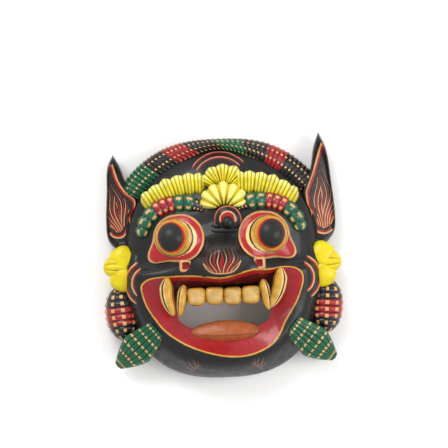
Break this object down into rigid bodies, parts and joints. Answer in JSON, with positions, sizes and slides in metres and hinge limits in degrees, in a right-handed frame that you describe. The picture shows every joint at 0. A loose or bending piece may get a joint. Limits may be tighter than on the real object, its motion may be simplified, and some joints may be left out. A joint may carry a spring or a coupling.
{
  "type": "barong mask",
  "caption": "Carved and painted wooden mask of a grinning guardian beast, hollow behind with an open mouth, lying face up on its flat back rim.",
  "frame": {"origin": "middle of the mask's outline, on the plane of its flat back rim", "axes": "+X to the viewer's right, +Y to the crown, +Z out of the face"},
  "size_m": [0.221, 0.224, 0.0846],
  "materials": {
    "painted_wood": "carved light wood, brush painted and satin varnished"
  },
  "bodies": {
    "root": {"mask": "painted_wood"}
  },
  "joints": []
}
